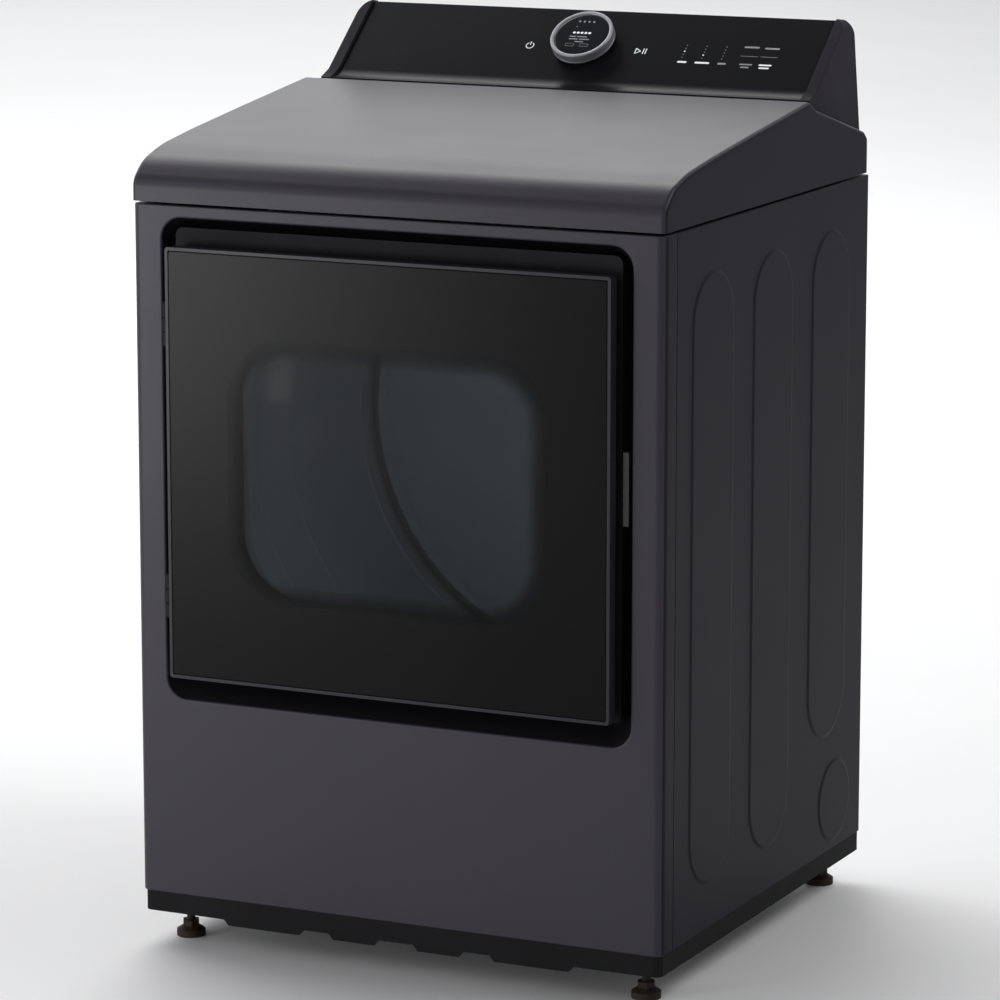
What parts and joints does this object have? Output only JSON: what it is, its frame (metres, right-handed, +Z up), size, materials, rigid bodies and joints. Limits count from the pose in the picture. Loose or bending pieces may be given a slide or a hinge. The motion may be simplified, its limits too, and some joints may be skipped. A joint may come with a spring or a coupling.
{
  "type": "clothes dryer",
  "caption": "Free-standing front-loading clothes dryer with a rear control console, a dual-opening glass door, a belt-driven drum and a rear exhaust outlet.",
  "frame": {"origin": "on the floor under the centre of the overall box", "axes": "+Z up, the door faces -Y, +X is to the right of a person who faces the door"},
  "size_m": [0.689, 0.683, 1.0969],
  "materials": {
    "paint_graphite": "satin",
    "base_black": "matte",
    "galvanised": "satin",
    "fascia_black": "gloss",
    "console_black": "matte",
    "circuit_board": "matte",
    "knob_metal": "brushed",
    "display_black": "gloss",
    "carrier_grey": "matte",
    "grip_grey": "satin",
    "door_trim": "satin",
    "door_glass": "polished",
    "window_glass": "polished",
    "seal_rubber": "matte",
    "hinge_black": "satin",
    "stainless": "brushed",
    "white_plastic": "satin",
    "felt": "matte",
    "roller_rubber": "matte",
    "belt_rubber": "matte",
    "motor_grey": "satin",
    "duct_grey": "matte",
    "wheel_black": "matte",
    "heater_alloy": "satin",
    "terminal_tan": "matte",
    "foot_dark": "matte"
  },
  "bodies": {
    "cabinet": {"base_pan": "base_black", "front_panel": "paint_graphite", "side_panel_left": "paint_graphite", "side_panel_right": "paint_graphite", "rear_panel": "galvanised", "top_cover": "paint_graphite", "control_fascia": "fascia_black", "end_cap_left": "console_black", "end_cap_right": "console_black", "console_back": "console_black", "control_board": "circuit_board", "knob_collar": "console_black", "knob_display": "display_black", "swing_hinge_brackets": "hinge_black", "swing_hinge_pins": "hinge_black", "carrier_catch": "white_plastic", "front_bulkhead": "galvanised", "rear_bulkhead": "galvanised", "front_felt_seal": "felt", "rear_felt_seal": "felt", "roller_axles": "galvanised", "drive_belt": "belt_rubber", "idler_arm": "galvanised", "motor_body": "motor_grey", "motor_bracket": "galvanised", "blower_housing": "duct_grey", "lint_duct": "duct_grey", "exhaust_pipe": "galvanised", "heater_housing": "galvanised", "heater_coil": "heater_alloy", "terminal_block": "terminal_tan", "terminal_cover": "galvanised", "steam_valve": "white_plastic"},
    "carrier": {"door_carrier": "carrier_grey", "side_grip": "grip_grey", "swing_hinge_straps": "hinge_black", "drop_hinge_pins": "stainless", "door_catch": "white_plastic"},
    "door": {"door_frame": "door_trim", "door_glass": "door_glass", "door_inner_panel": "carrier_grey", "door_window": "window_glass", "door_seal": "seal_rubber"},
    "knob": {"knob_ring": "knob_metal"},
    "drum": {"drum": "stainless", "drum_baffles": "white_plastic"},
    "motor_rotor": {"motor_shaft": "stainless", "blower_wheel": "wheel_black"},
    "idler": {"idler_pulley": "white_plastic"},
    "roller_fl": {"roller_front_left": "roller_rubber"},
    "roller_fr": {"roller_front_right": "roller_rubber"},
    "roller_rl": {"roller_rear_left": "roller_rubber"},
    "roller_rr": {"roller_rear_right": "roller_rubber"},
    "filter": {"lint_filter": "white_plastic"},
    "foot_fl": {"foot_front_left": "foot_dark"},
    "foot_fr": {"foot_front_right": "foot_dark"},
    "foot_rl": {"foot_rear_left": "foot_dark"},
    "foot_rr": {"foot_rear_right": "foot_dark"}
  },
  "joints": [
    {"name": "door_swing", "type": "hinge", "parent": "cabinet", "child": "carrier", "pos_m": [-0.296, -0.3225, 0.5975], "axis": [0, 0, -1], "range_deg": [0, 100]},
    {"name": "door_drop", "type": "hinge", "parent": "carrier", "child": "door", "pos_m": [0, -0.3205, 0.346], "axis": [1, 0, 0], "range_deg": [0, 55]},
    {"name": "filter_lift", "type": "slide", "parent": "cabinet", "child": "filter", "axis": [0, 0, 1], "range_m": [0, 0.15]},
    {"name": "knob_turn", "type": "hinge", "parent": "cabinet", "child": "knob", "pos_m": [0, 0.21751, 1.05694], "axis": [0, -0.6293, 0.7771], "continuous": true},
    {"name": "drum_spin", "type": "hinge", "parent": "cabinet", "child": "drum", "pos_m": [0, 0.0015, 0.577], "axis": [0, 1, 0], "continuous": true},
    {"name": "motor_spin", "type": "hinge", "parent": "cabinet", "child": "motor_rotor", "pos_m": [-0.165, 0.0165, 0.14], "axis": [0, 1, 0], "continuous": true},
    {"name": "idler_spin", "type": "hinge", "parent": "cabinet", "child": "idler", "pos_m": [-0.062, 0.1355, 0.214], "axis": [0, 1, 0], "continuous": true},
    {"name": "roller_spin_fl", "type": "hinge", "parent": "cabinet", "child": "roller_fl", "pos_m": [-0.19926, -0.2395, 0.29243], "axis": [0, 1, 0], "continuous": true},
    {"name": "roller_spin_fr", "type": "hinge", "parent": "cabinet", "child": "roller_fr", "pos_m": [0.19926, -0.2395, 0.29243], "axis": [0, 1, 0], "continuous": true},
    {"name": "roller_spin_rl", "type": "hinge", "parent": "cabinet", "child": "roller_rl", "pos_m": [-0.19926, 0.2425, 0.29243], "axis": [0, 1, 0], "continuous": true},
    {"name": "roller_spin_rr", "type": "hinge", "parent": "cabinet", "child": "roller_rr", "pos_m": [0.19926, 0.2425, 0.29243], "axis": [0, 1, 0], "continuous": true},
    {"name": "foot_level_fl", "type": "slide", "parent": "cabinet", "child": "foot_fl", "axis": [0, 0, -1], "range_m": [0, 0.012]},
    {"name": "foot_level_fr", "type": "slide", "parent": "cabinet", "child": "foot_fr", "axis": [0, 0, -1], "range_m": [0, 0.012]},
    {"name": "foot_level_rl", "type": "slide", "parent": "cabinet", "child": "foot_rl", "axis": [0, 0, -1], "range_m": [0, 0.012]},
    {"name": "foot_level_rr", "type": "slide", "parent": "cabinet", "child": "foot_rr", "axis": [0, 0, -1], "range_m": [0, 0.012]}
  ],
  "couplings": [
    {"joint": "motor_spin", "follows": "drum_spin", "ratio": 23.222},
    {"joint": "idler_spin", "follows": "drum_spin", "ratio": -11.4},
    {"joint": "roller_spin_fl", "follows": "drum_spin", "ratio": -8.9143},
    {"joint": "roller_spin_fr", "follows": "drum_spin", "ratio": -8.9143},
    {"joint": "roller_spin_rl", "follows": "drum_spin", "ratio": -8.9143},
    {"joint": "roller_spin_rr", "follows": "drum_spin", "ratio": -8.9143}
  ]
}
